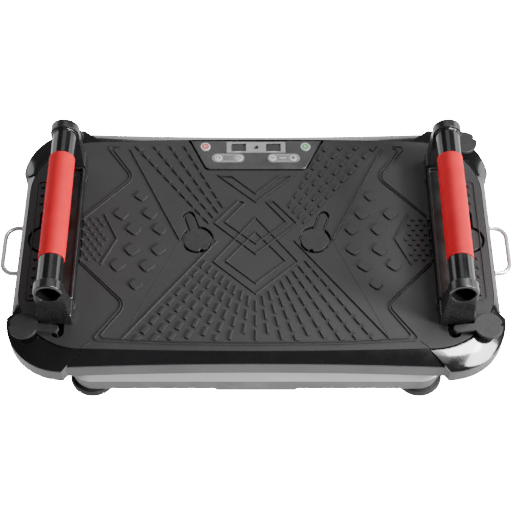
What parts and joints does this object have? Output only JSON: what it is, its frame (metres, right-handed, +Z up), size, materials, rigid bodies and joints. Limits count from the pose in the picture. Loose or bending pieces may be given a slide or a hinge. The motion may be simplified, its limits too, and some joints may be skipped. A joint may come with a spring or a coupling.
{
  "type": "vibration plate",
  "caption": "Low rocking exercise platform with a textured rubber mat, rear console, chrome side loops and lift-off push-up bars standing in corner sockets.",
  "frame": {"origin": "on the floor, at the middle of the plate's outline", "axes": "+X to the user's right when facing the console, +Y to the console side, +Z up"},
  "size_m": [0.834, 0.472, 0.236],
  "materials": {
    "gloss_black": "gloss",
    "satin_black": "satin",
    "mat_rubber": "textured matt",
    "plug_rubber": "smooth matt",
    "black_rubber": "matt",
    "skirt_grey": "satin",
    "silver_band": "metallic paint",
    "red_foam": "soft matt",
    "chrome": "polished",
    "steel": "machined",
    "dark_steel": "painted",
    "console_grey": "satin",
    "light_grey": "satin",
    "window_dark": "gloss",
    "button_white": "satin",
    "board_green": "lacquered board"
  },
  "bodies": {
    "base": {"base_tray": "skirt_grey", "base_band": "silver_band", "dust_collar": "black_rubber", "chassis_plate": "dark_steel", "foot_front_left": "black_rubber", "foot_front_right": "black_rubber", "foot_rear_left": "black_rubber", "foot_rear_right": "black_rubber", "pivot_block_front": "dark_steel", "pivot_block_rear": "dark_steel", "pivot_shaft": "steel", "rock_motor": "dark_steel", "eccentric_bracket": "dark_steel", "drive_belt": "black_rubber", "power_board": "board_green", "inlet_module": "satin_black"},
    "motor_pulley": {"motor_pulley": "steel"},
    "eccentric_shaft": {"eccentric_shaft": "steel"},
    "power_rocker": {"power_rocker": "satin_black"},
    "deck": {"deck_shell": "skirt_grey", "top_platform": "gloss_black", "deck_mat": "mat_rubber", "corner_cap_front_left": "gloss_black", "corner_cap_front_right": "gloss_black", "corner_cap_rear_left": "gloss_black", "corner_cap_rear_right": "gloss_black", "deck_frame": "dark_steel", "vibration_motor": "dark_steel", "side_loop_left": "chrome", "side_loop_right": "chrome", "console_panel": "console_grey", "display_bezel": "light_grey", "display_window": "window_dark", "console_board": "board_green", "outer_left_plug": "plug_rubber", "outer_right_plug": "plug_rubber"},
    "vibration_rotor": {"vibration_rotor": "steel"},
    "left_bar": {"left_bar_rail": "satin_black", "left_upright_front": "gloss_black", "left_upright_rear": "gloss_black", "left_bar_tube": "gloss_black", "left_bar_grip": "red_foam"},
    "right_bar": {"right_bar_rail": "satin_black", "right_upright_front": "gloss_black", "right_upright_rear": "gloss_black", "right_bar_tube": "gloss_black", "right_bar_grip": "red_foam"},
    "power_button": {"power_button": "button_white"},
    "start_button": {"start_button": "button_white"},
    "program_button": {"program_button": "button_white"},
    "mode_button": {"mode_button": "button_white"},
    "minus_button": {"minus_button": "button_white"},
    "plus_button": {"plus_button": "button_white"},
    "front_left_plug": {"front_left_plug": "plug_rubber"},
    "front_right_plug": {"front_right_plug": "plug_rubber"},
    "rear_left_plug": {"rear_left_plug": "plug_rubber"},
    "rear_right_plug": {"rear_right_plug": "plug_rubber"},
    "inner_left_plug": {"inner_left_plug": "plug_rubber"},
    "inner_right_plug": {"inner_right_plug": "plug_rubber"}
  },
  "joints": [
    {"name": "platform_rock", "type": "hinge", "parent": "base", "child": "deck", "pos_m": [0, 0, 0.075], "axis": [0, 1, 0], "range_deg": [-1.8, 1.8], "stiffness_Nm_per_rad": 400},
    {"name": "motor_spin", "type": "hinge", "parent": "base", "child": "motor_pulley", "pos_m": [0.17, 0.075, 0.06], "axis": [0, 1, 0], "continuous": true},
    {"name": "eccentric_spin", "type": "hinge", "parent": "base", "child": "eccentric_shaft", "pos_m": [0.06, 0, 0.06], "axis": [0, 1, 0], "continuous": true},
    {"name": "power_rocker_tilt", "type": "hinge", "parent": "base", "child": "power_rocker", "pos_m": [0.2275, 0.2145, 0.0425], "axis": [1, 0, 0], "range_deg": [-14, 0]},
    {"name": "vibration_spin", "type": "hinge", "parent": "deck", "child": "vibration_rotor", "pos_m": [-0.19, 0, 0.0781], "axis": [0, 1, 0], "continuous": true},
    {"name": "left_bar_lift", "type": "slide", "parent": "deck", "child": "left_bar", "axis": [0, 0, 1], "range_m": [0, 0.1]},
    {"name": "right_bar_lift", "type": "slide", "parent": "deck", "child": "right_bar", "axis": [0, 0, 1], "range_m": [0, 0.1]},
    {"name": "power_button_press", "type": "slide", "parent": "deck", "child": "power_button", "axis": [0, 0, -1], "range_m": [0, 0.0008], "stiffness_N_per_m": 600},
    {"name": "start_button_press", "type": "slide", "parent": "deck", "child": "start_button", "axis": [0, 0, -1], "range_m": [0, 0.0008], "stiffness_N_per_m": 600},
    {"name": "program_button_press", "type": "slide", "parent": "deck", "child": "program_button", "axis": [0, 0, -1], "range_m": [0, 0.0008], "stiffness_N_per_m": 600},
    {"name": "mode_button_press", "type": "slide", "parent": "deck", "child": "mode_button", "axis": [0, 0, -1], "range_m": [0, 0.0008], "stiffness_N_per_m": 600},
    {"name": "minus_button_press", "type": "slide", "parent": "deck", "child": "minus_button", "axis": [0, 0, -1], "range_m": [0, 0.0008], "stiffness_N_per_m": 600},
    {"name": "plus_button_press", "type": "slide", "parent": "deck", "child": "plus_button", "axis": [0, 0, -1], "range_m": [0, 0.0008], "stiffness_N_per_m": 600},
    {"name": "front_left_plug_swivel", "type": "hinge", "parent": "deck", "child": "front_left_plug", "pos_m": [-0.3095, -0.1725, 0.125], "axis": [0, 0, 1], "range_deg": [0, 80]},
    {"name": "front_right_plug_swivel", "type": "hinge", "parent": "deck", "child": "front_right_plug", "pos_m": [0.3095, -0.1725, 0.125], "axis": [0, 0, 1], "range_deg": [-80, 0]},
    {"name": "rear_left_plug_swivel", "type": "hinge", "parent": "deck", "child": "rear_left_plug", "pos_m": [-0.3095, 0.173, 0.125], "axis": [0, 0, 1], "range_deg": [-12, 12]},
    {"name": "rear_right_plug_swivel", "type": "hinge", "parent": "deck", "child": "rear_right_plug", "pos_m": [0.307, 0.173, 0.125], "axis": [0, 0, 1], "range_deg": [-10, 10]},
    {"name": "inner_left_plug_lift", "type": "slide", "parent": "deck", "child": "inner_left_plug", "axis": [0, 0, 1], "range_m": [0, 0.02]},
    {"name": "inner_right_plug_lift", "type": "slide", "parent": "deck", "child": "inner_right_plug", "axis": [0, 0, 1], "range_m": [0, 0.02]}
  ],
  "couplings": [
    {"joint": "motor_spin", "follows": "eccentric_spin", "ratio": 2.8}
  ]
}
